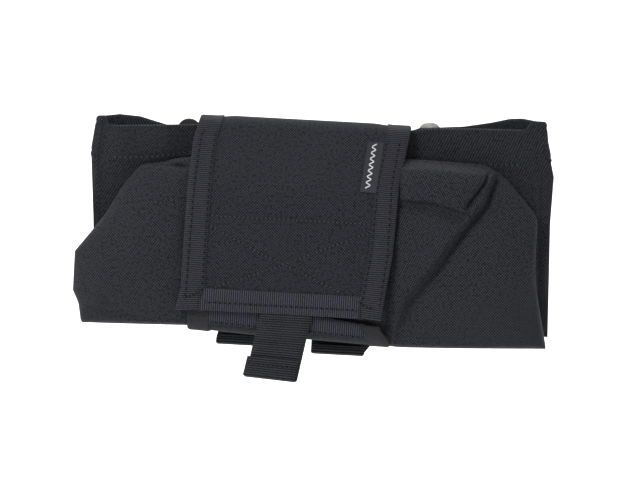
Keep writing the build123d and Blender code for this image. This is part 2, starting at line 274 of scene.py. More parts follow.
# ---------------------------------------------------------------- materials
class Graph:
    """Shorthand for building one material's nodes."""

    def __init__(self, name):
        self.material = bpy.data.materials.new(name)
        self.material.use_nodes = True
        self.tree = self.material.node_tree
        self.shader = self.tree.nodes["Principled BSDF"]

    def node(self, kind, **inputs):
        made = self.tree.nodes.new(kind)
        for key, value in inputs.items():
            slot = made.inputs[int(key[1:])] if key[0] == "_" else made.inputs[key]
            self.feed(slot, value)
        return made

    def feed(self, slot, value):
        if isinstance(value, bpy.types.NodeSocket):
            self.tree.links.new(value, slot)
        else:
            slot.default_value = value

    def math(self, operation, a, b=0.0):
        made = self.node("ShaderNodeMath", _0=a, _1=b)
        made.operation = operation
        return made.outputs[0]

    def times(self, a, b):
        return self.math("MULTIPLY", a, b)

    def plus(self, a, b):
        return self.math("ADD", a, b)

    def attribute(self):
        """Across and along the flat cloth, and the third number, in millimetres."""
        made = self.node("ShaderNodeAttribute")
        made.attribute_name = "weave"
        split = self.node("ShaderNodeSeparateXYZ", _0=made.outputs["Vector"])
        return made.outputs["Vector"], split.outputs

    def noise(self, vector, scale, detail=2.0):
        return self.node("ShaderNodeTexNoise", Vector=vector, Scale=scale, Detail=detail).outputs["Fac"]

    def mix(self, share, dark, light):
        made = self.node("ShaderNodeMix")
        made.data_type = "RGBA"
        self.feed(made.inputs["Factor"], share)
        self.feed(made.inputs["A"], dark)
        self.feed(made.inputs["B"], light)
        return made.outputs["Result"]

    def spread(self, value, low, high, to_low, to_high):
        return self.node("ShaderNodeMapRange", Value=value, _1=low, _2=high, _3=to_low, _4=to_high).outputs[0]

    def finish(self, colour, roughness, height=None, depth=0.1, sheen=0.0, metal=0.0, specular=0.18):
        self.feed(self.shader.inputs["Base Color"], colour)
        self.feed(self.shader.inputs["Roughness"], roughness)
        self.shader.inputs["Metallic"].default_value = metal
        self.shader.inputs["Specular IOR Level"].default_value = specular
        self.shader.inputs["Sheen Weight"].default_value = sheen
        self.shader.inputs["Sheen Roughness"].default_value = 0.5
        if height is not None:
            bump = self.node("ShaderNodeBump", Strength=1.0, Distance=depth * MM, Height=height)
            self.feed(self.shader.inputs["Normal"], bump.outputs[0])
        return self.material


def tint(colour, factor):
    return tuple(c * factor for c in colour[:3]) + (1.0,)


def crossing(g, across, along, pitch):
    """Plain weave of the given yarn pitch: its height, and which of the two yarns is on top (-1 to 1)."""
    turn = math.pi / pitch
    warp, weft = g.math("SINE", g.times(across, turn)), g.math("SINE", g.times(along, turn))
    over = g.times(warp, weft)
    half = g.times(over, 0.5)
    up = g.times(g.math("ABSOLUTE", warp), g.plus(half, 0.55))
    side = g.times(g.math("ABSOLUTE", weft), g.math("SUBTRACT", 0.55, half))
    return g.math("MAXIMUM", up, side), over


def woven(name, colour, pitch=0.7, contrast=1.0, depth=0.2):
    """Coarse woven nylon: a painted sheen lightens the yarns where they run across and painted shade darkens the
    others, uneven and softly worn.
    """
    g = Graph(name)
    vector, (across, along, _) = g.attribute()
    wobble = g.times(g.math("SUBTRACT", g.noise(vector, 0.16), 0.5), 0.8)
    height, over = crossing(g, g.plus(across, wobble), g.plus(along, wobble), pitch)
    yarn = g.noise(vector, 0.8, 3.0)
    cloudy = g.noise(vector, 0.045, 3.0)
    # painted sheen and shade: cells where one yarn lies on top are painted light, the others dark
    share = g.spread(over, -0.3, 0.35, 0.0, 1.0)
    share = g.times(share, g.spread(yarn, 0.34, 0.66, 0.3, 1.75))
    base = g.mix(share, tint(colour, 1.0 - contrast), tint(colour, 1.0 + contrast))
    worn = g.mix(g.spread(cloudy, 0.35, 0.7, 0.0, 0.15), base, tint(colour, 1.3))
    return g.finish(worn, g.spread(height, 0.0, 1.0, 0.84, 0.64), height, depth, 0.03)


def ribbed(name, colour, pitch, cross=0.5, columns=0.75):
    """Tape or webbing: ribs across it, with fine yarns running over them, and painted shade in the grooves between
    the ribs and between the fine columns.
    """
    g = Graph(name)
    vector, (across, along, _) = g.attribute()
    rib = g.math("ABSOLUTE", g.math("SINE", g.times(along, math.pi / pitch)))
    fine, _ = crossing(g, across, along, cross)
    height = g.plus(g.times(rib, 0.8), g.times(fine, 0.25))
    # painted shade: black in the grooves between the ribs, lighter on their crests
    share = g.spread(g.times(rib, rib), 0.05, 0.95, 0.0, 1.0)
    share = g.times(share, g.spread(g.noise(vector, 0.9, 3.0), 0.3, 0.7, 0.55, 1.35))
    # painted shade between the fine columns
    column = g.math("ABSOLUTE", g.math("SINE", g.times(across, math.pi / cross)))
    share = g.times(share, g.spread(column, 0.1, 0.9, columns, 1.1))
    base = g.mix(share, tint(colour, 0.0), tint(colour, 2.0))
    worn = g.mix(g.spread(g.noise(vector, 0.09), 0.4, 0.75, 0.0, 0.25), base, tint(colour, 1.2))
    return g.finish(worn, g.spread(height, 0.0, 1.0, 0.72, 0.52), height, 0.25, 0.05)


def coated(name, colour):
    """Lining: a fine weave under a thin coating, a little crinkled."""
    g = Graph(name)
    vector, (across, along, _) = g.attribute()
    fine, _ = crossing(g, across, along, 0.4)
    crinkle = g.noise(vector, 0.16, 4.0)
    height = g.plus(g.times(fine, 0.3), crinkle)
    base = g.mix(g.spread(crinkle, 0.3, 0.7, 0.0, 1.0), tint(colour, 0.7), tint(colour, 1.35))
    return g.finish(base, g.spread(crinkle, 0.3, 0.7, 0.42, 0.62), height, 0.35)


def pile(name, colour, size, depth):
    """Hook or loop tape: rows of small hooks, or a fuzz of loops."""
    g = Graph(name)
    vector, _ = g.attribute()
    cells = g.node("ShaderNodeTexVoronoi", Vector=vector, Scale=1.0 / size).outputs["Distance"]
    tuft = g.spread(cells, 0.0, 0.6, 1.0, 0.0)
    shade = g.times(tuft, g.spread(g.noise(vector, 0.5, 3.0), 0.3, 0.7, 0.6, 1.2))
    base = g.mix(shade, tint(colour, 0.35), tint(colour, 2.0))
    return g.finish(base, g.spread(tuft, 0.0, 1.0, 0.95, 0.7), tuft, depth, 0.3)


def satin(name, colour):
    """Label satin: fine lengthwise floats."""
    g = Graph(name)
    vector, (across, along, _) = g.attribute()
    floats = g.math("ABSOLUTE", g.math("SINE", g.times(across, math.pi / 0.28)))
    height = g.plus(floats, g.times(g.noise(vector, 2.0), 0.6))
    base = g.mix(g.spread(height, 0.2, 1.4, 0.0, 1.0), tint(colour, 0.6), tint(colour, 1.4))
    return g.finish(base, g.spread(g.noise(vector, 0.3), 0.3, 0.7, 0.38, 0.52), height, 0.05)


def thread(name, colour):
    """Sewing thread: twisted, with painted shade between its plies and near-black painted shade where each stitch
    dives into the cloth.
    """
    g = Graph(name)
    vector, (along, around, step) = g.attribute()
    twist = g.plus(g.times(along, 9.0), g.times(around, 2.0))
    ply = g.math("ABSOLUTE", g.math("SINE", twist))
    # painted shade: near black where each stitch dives into its hole, and darker between the plies
    dive = g.spread(g.math("ABSOLUTE", step), 0.26, 0.34, 1.0, 0.0)
    base = g.mix(g.times(dive, g.spread(ply, 0.0, 1.0, 0.6, 1.0)), tint(colour, 0.02), colour)
    return g.finish(base, g.spread(ply, 0.0, 1.0, 0.7, 0.5), ply, 0.05)


def metal(name, colour, rough, metallic=1.0):
    """Plated or enamelled press stud: fine turning marks and rubbed spots."""
    g = Graph(name)
    place = g.node("ShaderNodeTexCoord").outputs["Object"]
    rubbed = g.noise(place, 420.0, 4.0)
    fine = g.noise(place, 2600.0, 2.0)
    base = g.mix(g.spread(rubbed, 0.35, 0.7, 0.0, 1.0), tint(colour, 0.75), tint(colour, 1.15))
    return g.finish(base, g.spread(rubbed, 0.3, 0.7, rough, rough + 0.2), fine, 0.012, metal=metallic,
                    specular=0.5)


def moulded(name, colour):
    """Plain plastic sheet with a fine leathery grain."""
    g = Graph(name)
    place = g.node("ShaderNodeTexCoord").outputs["Object"]
    grain = g.noise(place, 900.0, 3.0)
    base = g.mix(g.spread(grain, 0.3, 0.7, 0.0, 1.0), tint(colour, 0.8), tint(colour, 1.2))
    return g.finish(base, g.spread(grain, 0.3, 0.7, 0.45, 0.6), grain, 0.05)


def plain(name, colour):
    """Matte paper for the floor and backdrop."""
    g = Graph(name)
    place = g.node("ShaderNodeTexCoord").outputs["Object"]
    base = g.mix(g.noise(place, 3.0), tint(colour, 0.985), tint(colour, 1.0))
    return g.finish(base, 0.9, specular=0.1)


bag_cloth = woven("bag_cloth", (0.0230, 0.0243, 0.0302, 1))
shell_cloth = woven("shell_cloth", (0.0208, 0.0220, 0.0283, 1))
# the bag's own cloth, painted darker than bag_cloth as painted shade on the sleeve
shaded_hem_cloth = woven("shaded_hem_cloth", (0.0210, 0.0221, 0.0278, 1))
smooth_tape = woven("smooth_tape", (0.0272, 0.0268, 0.0296, 1), pitch=0.35, contrast=0.4, depth=0.06)
side_tape = ribbed("side_tape", (0.0260, 0.0265, 0.0345, 1), pitch=tape_rib)
end_tape = ribbed("end_tape", (0.0315, 0.0325, 0.0455, 1), pitch=tape_rib, columns=0.85)
webbing = ribbed("webbing", (0.0222, 0.0236, 0.0290, 1), pitch=1.12, cross=0.85, columns=0.35)
lining_cloth = coated("lining_cloth", (0.024, 0.024, 0.027, 1))
hooks = pile("hook_tape", (0.016, 0.016, 0.017, 1), 0.9, 0.5)
loops = pile("loop_tape", (0.018, 0.018, 0.019, 1), 0.6, 0.35)
label_satin = satin("label_satin", (0.028, 0.0305, 0.037, 1))
label_thread = satin("label_thread", (0.62, 0.63, 0.64, 1))
tape_thread = thread("tape_thread", (0.033, 0.034, 0.043, 1))
# the same dark thread as tape_thread, painted lighter as a painted highlight on its stitches
highlighted_thread = thread("highlighted_thread", (0.058, 0.060, 0.071, 1))
# a painted highlight: the pale row along the front rim's top edge, where light from above catches it
rim_highlight_thread = thread("rim_highlight_thread", (0.12, 0.12, 0.13, 1))
nickel = metal("nickel", (0.72, 0.72, 0.70, 1), 0.28)
enamel = metal("black_enamel", (0.014, 0.014, 0.016, 1), 0.35, 0.0)
sheet_plastic = moulded("sheet_plastic", (0.03, 0.03, 0.03, 1))
paper = plain("paper", (0.93, 0.93, 0.93, 1))


def dress(piece, material, body=None, nodes=()):
    """Gives a piece its material, its body and the CAD nodes it stands for."""
    piece.data.materials.append(material)
    if nodes:
        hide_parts(*nodes)
    if body:
        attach(piece, body)
    return piece


# ---------------------------------------------------------------- camera, floor and light
middle_x = 9.9
middle_z = -3.3
view_distance = 1200.0
view_rise = math.radians(2.6)
view_roll = math.radians(3.1)
frame_width = 310.4          # what the picture is wide at the front of the pouch


def add_camera():
    camera = bpy.data.objects.new("camera", bpy.data.cameras.new("camera"))
    bpy.context.scene.collection.objects.link(camera)
    front = np.array([middle_x, -30.0, middle_z])
    camera.location = Vector(front + np.array([0, -math.cos(view_rise), math.sin(view_rise)]) * view_distance) * MM
    look = Matrix.Rotation(math.pi / 2 - view_rise, 4, "X") @ Matrix.Rotation(view_roll, 4, "Z")
    camera.rotation_euler = look.to_euler()
    camera.data.lens = camera.data.sensor_width * view_distance / frame_width
    camera.data.clip_end = 20
    bpy.context.scene.camera = camera


def add_floor():
    """A floor that curves up into a backdrop, behind and below the pouch."""
    low, deep, tall, bend = -0.16, 2.6, 3.0, 0.8
    turns = np.linspace(0, math.pi / 2, 16)
    profile = [(-4.0, low)] + [(deep - bend + bend * math.sin(t), low + bend - bend * math.cos(t)) for t in turns]
    profile += [(deep, tall)]
    points = [(x, y, z) for y, z in profile for x in (-4.5, 4.5)]
    mesh = bpy.data.meshes.new("floor")
    mesh.from_pydata(points, [], grid_faces(len(profile), 2))
    mesh.polygons.foreach_set("use_smooth", [True] * len(mesh.polygons))
    floor = bpy.data.objects.new("floor", mesh)
    mesh.materials.append(paper)
    bpy.context.scene.collection.objects.link(floor)


def add_light(name, place, size, power, aim=(0, 0, 0)):
    lamp = bpy.data.lights.new(name, "AREA")
    lamp.size = size
    lamp.energy = power
    light = bpy.data.objects.new(name, lamp)
    light.location = place
    light.rotation_euler = (Vector(aim) - Vector(place)).to_track_quat("-Z", "Y").to_euler()
    bpy.context.scene.collection.objects.link(light)


def add_world(level):
    world = bpy.data.worlds.new("studio")
    world.use_nodes = True
    world.node_tree.nodes["Background"].inputs["Color"].default_value = (level, level, level, 1)
    bpy.context.scene.world = world


add_camera()
add_floor()
add_world(0.45)
add_light("key", (-0.9, -1.3, 0.95), 0.7, 17)
add_light("fill", (1.3, -1.5, 0.5), 1.2, 1)
add_light("floor_wash", (0.0, 1.0, 2.2), 1.6, 30, (0, 1.2, -0.16))
add_light("backdrop_wash", (0.0, 0.9, 1.4), 1.6, 42, (0, 2.6, 0.5))
bpy.context.scene.view_settings.view_transform = "Standard"


# ---------------------------------------------------------------- rear panel and tongue
panel_run = [(panel_back, panel_high[2]), (panel_back, panel_foot), (tongue_front, panel_foot),
             (tongue_front, tongue_top)]
panel_path = rounded(panel_run, [6.0, 9.0], 1.2)
panel_left, panel_right = panel_low[0], panel_high[0]


def run_normals(path, side):
    """Unit normals of a YZ path, on its left (side 1) or right (side -1)."""
    along = np.gradient(path, axis=0)
    along /= np.linalg.norm(along, axis=1, keepdims=True)
    return np.stack([-along[:, 1], along[:, 0]], 1) * side


def run_length(path):
    return np.concatenate([[0], np.cumsum(np.linalg.norm(np.diff(path, axis=0), axis=1))])


def off_path(path, x, normal, off):
    """Points at x, a distance off a YZ path."""
    return np.stack([x, path[:, 0] + normal[:, 0] * off, path[:, 1] + normal[:, 1] * off], 1)


def ribs(along, pitch, depth):
    """How far a ribbed face sinks between its ribs."""
    return depth * (0.5 - 0.5 * np.cos(2 * math.pi * along / pitch))


def tongue_sag(x, z=None):
    """The tongue hangs lower towards the right, its free edge most of all."""
    sag = 2.2 * (1 - ramp(x, -64, -10)) - 1.6 * ramp(x, -20, 45)
    return sag if z is None else sag - 3.6 * ramp(x, -8, 40) * ramp(z, panel_foot + 1.0, tongue_top)


def panel_point(path, x, height):
    """Points of the panel at a height off its outer face; x and height match the path or are single numbers."""
    normal = run_normals(path, 1)
    x = np.broadcast_to(x, len(path)).astype(float)
    forward = ramp(-path[:, 0], 8, 30)
    x = x - (2.6 + 0.45 * np.maximum(path[:, 1] - panel_foot, 0)) * forward * ramp(x, -20, 48)
    place = off_path(path, x, normal, height)
    place[:, 2] += tongue_sag(x, path[:, 1]) * forward
    return place


def layer(name, path, point, places, top, thickness, across=None):
    """A cloth along a path with its outer face at height top; places holds the x of each of its columns."""
    outer = np.stack([point(path, x, top) for x in places], 1)
    inner = np.stack([point(path, x, top - thickness) for x in places], 1)
    across = outer[:, :, 0] if across is None else np.broadcast_to(across, outer.shape[:2])
    along = np.broadcast_to(run_length(path)[:, None], outer.shape[:2])
    return two_sided(name, outer, inner, np.stack([across, along], 2))


def two_sided(name, outer, inner, weave, sharp=38):
    """A closed sheet from the grids of its two faces."""
    rows, columns = outer.shape[:2]
    count = rows * columns
    points = np.vstack([outer.reshape(-1, 3), inner.reshape(-1, 3)])
    faces = grid_faces(rows, columns) + grid_faces(rows, columns, count, flip=True)
    rim = ([i * columns for i in range(rows)] + [(rows - 1) * columns + j for j in range(1, columns)]
           + [i * columns + columns - 1 for i in range(rows - 2, -1, -1)] + list(range(columns - 2, 0, -1)))
    faces += [(b, a, a + count, b + count) for a, b in zip(rim, rim[1:] + rim[:1])]
    flat = np.vstack([weave.reshape(-1, weave.shape[2])] * 2)
    return upright(mesh_object(name, points, faces, flat, sharp))


def edge_tape(name, path, point, edge, inward, thickness, show, rib):
    """A tape folded over a side edge: inward is 1 where the cloth lies to its right, -1 to its left."""
    along = run_length(path)
    sunk = ribs(along, tape_rib, rib)
    section = folded_tape(thickness, show, tape_lift)
    rings = [point(path, edge + inward * a, b - ribbed_side * sunk) for a, b, ribbed_side in section]
    return ring_mesh(name, np.stack(rings, 1), section, along)


def ring_mesh(name, rings, section, along, sharp=50):
    """A closed section carried from ring to ring, capped at both ends."""
    count, corners = rings.shape[:2]
    round_it = np.concatenate([[0], np.cumsum([math.dist(a[:2], b[:2]) for a, b in zip(section, section[1:])])])
    weave = np.zeros((count, corners, 2))
    weave[:, :, 0] = round_it
    weave[:, :, 1] = np.asarray(along)[:, None]
    faces = grid_faces(count, corners, closed=True) + end_caps(count, corners)
    return upright(mesh_object(name, rings.reshape(-1, 3), faces, weave.reshape(-1, 2), sharp))


panel_xs = np.linspace(panel_left, panel_right, 77)
panel_cloth = layer("panel_cloth", panel_path, panel_point, panel_xs, 0.0, cloth, panel_xs)
dress(panel_cloth, shell_cloth, "root", ["panel_outer"])
panel_inside = layer("panel_inside", panel_path, panel_point, panel_xs, lining - panel_thick, lining, panel_xs)
dress(panel_inside, lining_cloth, "root", ["panel_lining"])
fine_panel_path = rounded(panel_run, [6.0, 9.0], 0.32)
for side, edge, inward in (("left", panel_left, 1), ("right", panel_right, -1)):
    tape = edge_tape(f"panel_tape_{side}", fine_panel_path, panel_point, edge, inward, panel_thick,
                     panel_tape_show, smooth_rib_depth)
    dress(tape, smooth_tape, "root", [f"panel_binding_{side}"])


def end_tape_rings(xs, edge_z, face, thickness, show):
    """A tape folded over a lower or upper free edge, carried across it; face(x, z) gives the cloth's front y."""
    section = folded_tape(thickness, show, tape_lift)
    sunk = ribs(xs, tape_rib, tape_rib_depth)
    rings = []
    for a, b, ribbed_side in section:
        z = edge_z(xs, a)
        rings.append(np.stack([xs, face(xs, z) - b + ribbed_side * sunk, z], 1))
    return np.stack(rings, 1), section


tongue_xs = np.arange(panel_left + panel_tape_show + 0.1, panel_right - 4.5 - panel_tape_show, 0.24)
tongue_rings, tongue_section = end_tape_rings(
    tongue_xs, lambda x, a: tongue_top - a + tongue_sag(x, tongue_top - a),
    lambda x, z: np.full(len(x), tongue_front),
    panel_thick, panel_tape_show - 0.6)
tongue_tape = ring_mesh("tongue_tape", tongue_rings, tongue_section, tongue_xs)
dress(tongue_tape, end_tape, "root", ["tongue_binding"])
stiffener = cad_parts["panel_stiffener"].data.materials
stiffener.clear()
stiffener.append(sheet_plastic)


# ---------------------------------------------------------------- webbing rows, straps and anchors
def webbing_along(name, centre, across_x, splay=0.0):
    """Webbing swept along a YZ line; across_x is the middle of its width, splay moves its right edge alone."""
    along, normal = run_length(centre), run_normals(centre, 1)
    sunk = ribs(along, web_rib, web_rib_depth)
    section = flat_section(web_width, web)
    rings = [off_path(centre, across_x + a + splay * max(a, 0.0) / (web_width / 2), normal,
                      b - web / 2 - ribbed_side * sunk) for a, b, ribbed_side in section]
    return ring_mesh(name, np.stack(rings, 1), section, along)


for row in ("upper", "lower"):
    low, high = box_mm(f"webbing_row_{row}")
    xs = np.arange(low[0], high[0], 0.3)
    sunk = ribs(xs, web_rib, web_rib_depth)
    middle = np.full(len(xs), (low[2] + high[2]) / 2)
    section = flat_section(high[2] - low[2], web)
    rings = np.stack([np.stack([xs, low[1] + b - ribbed_side * sunk, middle + a], 1)
                      for a, b, ribbed_side in section], 1)
    dress(ring_mesh(f"webbing_{row}", rings, section, xs), webbing, "root", [f"webbing_row_{row}"])

strap_tuck = 9.0             # how far the strap's end is turned forward under the panel
strap_lip = 4.2              # and then up
strap_end = {"left": (1.2, -2.0, 0.0), "right": (-1.1, 0.0, 0.75)}      # each end's drop, sideways slide and skew
for side, (drop, slide, skew) in strap_end.items():
    low, high = box_mm(f"strap_anchor_{side}")
    strap_low, strap_high = box_mm(f"strap_{side}")
    middle = (low[0] + high[0]) / 2
    inner, outer = low[1] + web / 2, strap_high[1] - web / 2
    near = outer - 3.4
    foot = strap_low[2] + drop
    line = [(inner, high[2]), (inner, low[2] - 2.6), (outer, low[2] - 7.6), (outer, -23.0), (near, -29.0),
            (near, foot), (near - strap_tuck, foot), (near - strap_tuck + 0.6, foot + strap_lip)]
    path = rounded(line, [3.0, 4.0, 4.0, 4.0, 1.6, 1.2], 0.3)
    behind = np.arange(len(path)) < np.argmin(path[:, 1])
    across_x = middle + slide * (1 - ramp(path[:, 1], foot, -40))
    splay = (2 * skew + skew * (path[:, 1] - foot) * behind) * (1 - ramp(path[:, 1], foot + 5, -34))
    strap = webbing_along(f"strap_webbing_{side}", path, across_x, splay)
    dress(strap, webbing, None, [f"strap_{side}", f"strap_anchor_{side}"])
    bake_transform(strap)


# ---------------------------------------------------------------- press studs
def stud_profile(radius, height):
    """A domed cap with a shallow dish and a rolled edge."""
    return [(0.01, 0.0), (radius - 0.5, 0.0), (radius, 0.45), (radius, 1.0), (radius - 0.45, 1.6),
            (radius - 1.2, height - 0.1), (radius - 1.9, height), (radius - 2.6, height - 0.12),
            (radius - 3.6, height - 0.02), (0.01, height + 0.05)]


def ring_profile(outer, inner, height):
    """All round a socket ring's section."""
    return [(inner, 0.0), (outer - 0.3, 0.0), (outer, 0.3), (outer - 0.1, height - 0.2), (outer - 0.5, height),
            (inner + 0.5, height), (inner + 0.1, height - 0.35)]


socket_hole = 2.7            # radius of the hole that a strap's stud snaps into
for side in ("left", "right"):
    body = f"strap_{side}"
    low, high = box_mm(f"snap_cap_{side}")
    radius, height = (high[0] - low[0]) / 2, high[1] - low[1]
    centre = ((low[0] + high[0]) / 2, low[1], (low[2] + high[2]) / 2)
    dress(turned(f"snap_cap_metal_{side}", stud_profile(radius, height), centre, 1), enamel, body,
          [f"snap_cap_{side}"])
    low, high = box_mm(f"snap_socket_{side}")
    profile = ring_profile((high[0] - low[0]) / 2, socket_hole, high[1] - low[1])
    dress(turned(f"snap_socket_ring_{side}", profile, (centre[0], high[1], centre[2]), -1, ring=True), nickel,
          body, [f"snap_socket_{side}"])
    low, high = box_mm(f"snap_stud_{side}")
    profile = [(0.01, 0.0), (4.7, 0.0), (5.0, 0.35), (4.7, 0.7), (3.0, 0.75), (2.2, 1.0), (2.0, 1.3), (2.25, 1.8),
               (2.15, 2.2), (1.5, high[1] - low[1] - 0.05), (0.01, high[1] - low[1])]
    dress(turned(f"snap_post_{side}", profile, (centre[0], low[1], centre[2]), 1), nickel, "root",
          [f"snap_stud_{side}"])
    low, high = box_mm(f"rim_stud_{side}")
    radius = (high[0] - low[0]) / 2
    centre = ((low[0] + high[0]) / 2 + 0.9, high[1], (low[2] + high[2]) / 2 + 0.8 * (side == "right"))
    height = high[1] - low[1]
    cap = [(0.01, 0.0), (radius - 1.4, 0.0), (radius - 0.5, 0.4), (radius, 1.1), (radius, 1.7), (radius - 0.4, 2.2),
           (2.0, 2.2), (2.0, height - 0.8), (3.0, height - 0.7), (3.0, height - 0.2), (2.6, height), (0.01, height)]
    finish, slot = (enamel, "dark_enamel") if side == "left" else (nickel, "snap_metal")
    dress(turned(f"rim_press_{side}", cap, centre, -1), finish, "root", [f"rim_stud_{side}"])


# ---------------------------------------------------------------- flap
flap_run = [(panel_back, flap_low[2] + 90.3), (panel_back, flap_top), (-20.0, flap_top), (-38.0, 20.0),
            (flap_front, -8.0), (flap_front, flap_end)]
flap_bends = [3.6, 9.0, 30.0, 30.0]
flap_path = rounded(flap_run, flap_bends, 0.85)
left_edge = np.array([(54, -51), (43, -53.5), (25, -54.5), (-30, -55), (-39, -57), (-42, -56.5)])
right_edge = np.array([(54, 51), (25, 46), (-8, 44.5), (-31, 41.5), (-42, 40.5)])
foot_rise = np.array([(-56, 0.5), (-42, 1.7), (28, 1.6), (42, 0.5)])
# the stitched box's top row, and the two rows that cross under it
box_seams = [[(-43.5, 6), (34.5, 6)], [(-43.5, 1.5), (-22, -9), (21.5, -27.5)],
             [(-44, -30), (-7, -15.5), (34.5, 2.5)]]
soft_folds = [[(-10, -14), (4, -5), (20, 3)], [(-44, 13), (-34, 17), (-22, 24)], [(28, 14), (20, 24), (18, 34)]]


def edge_x(edge, z):
    return np.interp(-np.asarray(z, float), -edge[:, 0], edge[:, 1])


def flap_shift(x, z):
    """How far the flap's front bulges out of its plain run."""
    x, z = np.broadcast_arrays(np.asarray(x, float), np.asarray(z, float))
    inside = ramp(x - edge_x(left_edge, z), 11, 22) * ramp(edge_x(right_edge, z) - x, 11, 22)
    inside = inside * ramp(z, -30, -22)
    soft = 0.55 * ripple(x, z, 24, 3) + 0.22 * ripple(x, z, 9, 5)
    pull = sum(groove(x, z, line, 0.55, 2.2) for line in box_seams)
    pull = pull + sum(groove(x, z, line, 0.5, 2.6) for line in soft_folds)
    pillow = 0.8 * ramp(z, -34, -15) * (1 - ramp(z, 0, 12)) * inside
    lifted = 1.6 * ramp(x, 5, 42) * (1 - ramp(z, -42, -14))
    wave = 0.5 * ripple(x * 0.6, z, 34, 8)
    return (soft + pillow - pull) * inside + lifted + wave * ramp(z, -45, -20)


def flap_lift(x, z):
    """The flap's lower edge sits a little higher in the middle than at its corners."""
    return np.interp(x, *foot_rise.T) * (1 - ramp(z, flap_end, flap_end + 24))


def flap_point(path, x, height):
    """Points of the flap at a height off its outer face."""
    normal = run_normals(path, -1)
    x = np.broadcast_to(x, len(path)).astype(float)
    front = 1 - ramp(path[:, 0], -26, -12)
    crown = 0.9 * ramp(x, -44, -34) * (1 - ramp(x, 32, 44)) * ramp(-path[:, 0], 5, 12) * (1 - front)
    off = height + flap_shift(x, path[:, 1]) * front + crown
    place = off_path(path, x, normal, off)
    place[:, 2] += flap_lift(x, path[:, 1]) * front
    return place


def flap_columns(path, count):
    """The x of each of the flap's columns, from side edge to side edge."""
    left, right = edge_x(left_edge, path[:, 1]), edge_x(right_edge, path[:, 1])
    return [left + (right - left) * t for t in np.linspace(0, 1, count)]


def on_flap(piece, material, nodes=()):
    """A flap layer, running from the panel at the back: given its material and no body, with its placement baked
    into its points.
    """
    dress(piece, material, None, nodes)
    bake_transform(piece)
    return piece


flap_cloth = layer("flap_cloth", flap_path, flap_point, flap_columns(flap_path, 122), 0.0, cloth)
on_flap(flap_cloth, shell_cloth, ["flap_outer"])
lining_path = flap_path[run_length(flap_path) > 5.5]
flap_inside = layer("flap_inside", lining_path, flap_point, flap_columns(lining_path, 60), -cloth - 0.05, lining)
on_flap(flap_inside, lining_cloth, ["flap_lining"])

fine_flap_path = rounded(flap_run[:-1] + [(flap_front, flap_end - 0.4)], flap_bends, 0.24)
for side, edge, inward in (("left", left_edge, 1), ("right", right_edge, -1)):
    tape = edge_tape(f"flap_tape_{side}", fine_flap_path, flap_point, edge_x(edge, fine_flap_path[:, 1]), inward,
                     flap_thick, tape_show, tape_rib_depth)
    on_flap(tape, side_tape, [f"flap_binding_{side}"])


def front_y(x, z):
    """The flap's outer face near its lower edge."""
    return flap_front - flap_shift(x, np.maximum(z - flap_lift(x, z), flap_end))


end_xs = np.arange(left_edge[-1][1] + tape_show - 1.2, right_edge[-1][1] - tape_show + 2.2, 0.24)
end_rings, end_section = end_tape_rings(end_xs, lambda x, a: flap_end + a + flap_lift(x, flap_end + a), front_y,
                                        flap_thick, tape_show)
inner_side = end_rings[:, :, 1] > flap_front + 0.2
end_rings[:, :, 1] = np.where(inner_side, np.minimum(end_rings[:, :, 1], tongue_front - 1.0), end_rings[:, :, 1])
end_piece = ring_mesh("flap_tape_end", end_rings, end_section, end_xs)
dress(end_piece, end_tape, "flap", ["flap_binding_end"])


def patch(name, node, depth, thickness, lift_share):
    """A patch under the flap's front, where its CAD node lies; lift_share is how far it follows the flap."""
    low, high = box_mm(node)
    path = flap_path[(flap_path[:, 1] < high[2]) & (flap_path[:, 1] > low[2]) & (flap_path[:, 0] < -24)]
    normal = run_normals(path, -1)

    def face(path, x, height):
        return off_path(path, np.full(len(path), x), normal, height + flap_shift(x, path[:, 1]) * lift_share)

    return layer(name, path, face, np.linspace(low[0] + 1.0, high[0] - 2.5, 60), -depth, thickness)


dress(patch("hook_side", "hook_patch", 1.85, 1.2, 1.0), hooks, "flap", ["hook_patch"])
dress(patch("loop_side", "loop_patch", 4.2, 1.0, 0.0), loops, "root", ["loop_patch"])


# ---------------------------------------------------------------- label
label_low, label_high = box_mm("side_label")
label_height = label_high[2] - label_low[2]
label_slope = 2.8            # how far its top leans to the right


def label_grid(height, inset=0.0):
    """The label's outer face at a height off the flap."""
    zs = np.linspace(label_low[2] + inset, label_high[2] - inset, 40)
    shares = np.linspace(0, 1, 12)
    grid = np.zeros((40, 12, 3))
    for i, z in enumerate(zs):
        lean = label_slope * (z - label_low[2]) / label_height
        xs = label_low[0] + lean + shares * 7.8
        y = np.interp(-z, -flap_path[:, 1], flap_path[:, 0])
        lift = height + 0.35 * (1 - shares) ** 2
        grid[i] = np.stack([xs, y - lift - flap_shift(xs, z), np.full(12, z) + 0.3 * lift], 1)
    return grid


label_face = label_grid(0.75)
label = two_sided("label", label_face, label_grid(0.12), label_face[:, :, [0, 2]])
dress(label, label_satin, "flap", ["side_label"])


def label_motif():
    """A plain zigzag of small woven bars."""
    points, faces = [], []
    count = 15
    for k, z in enumerate(np.linspace(label_low[2] + 2.6, label_high[2] - 1.6, count)):
        lean = label_slope * (z - label_low[2]) / label_height
        x = label_low[0] + lean + 3.3
        tip = 1.15 * (-1) ** k
        start = len(points)
        for depth in (0.0, 0.3):
            for a, b in ((-tip, -0.95), (-tip, -0.35), (tip, 0.95), (tip, 0.35)):
                y = np.interp(-(z + b), -flap_path[:, 1], flap_path[:, 0]) - 0.98 - float(flap_shift(x, z))
                points.append((x + a, y + depth, z + b + 0.25))
        front = (start, start + 1, start + 2, start + 3)
        faces += [front, tuple(k + 4 for k in front[::-1])]
        faces += [(start + k, start + 4 + k, start + 4 + (k + 1) % 4, start + (k + 1) % 4) for k in range(4)]
    return upright(mesh_object("label_motif", points, faces, np.array(points)[:, [0, 2]], 30))


dress(label_motif(), label_thread, "flap")


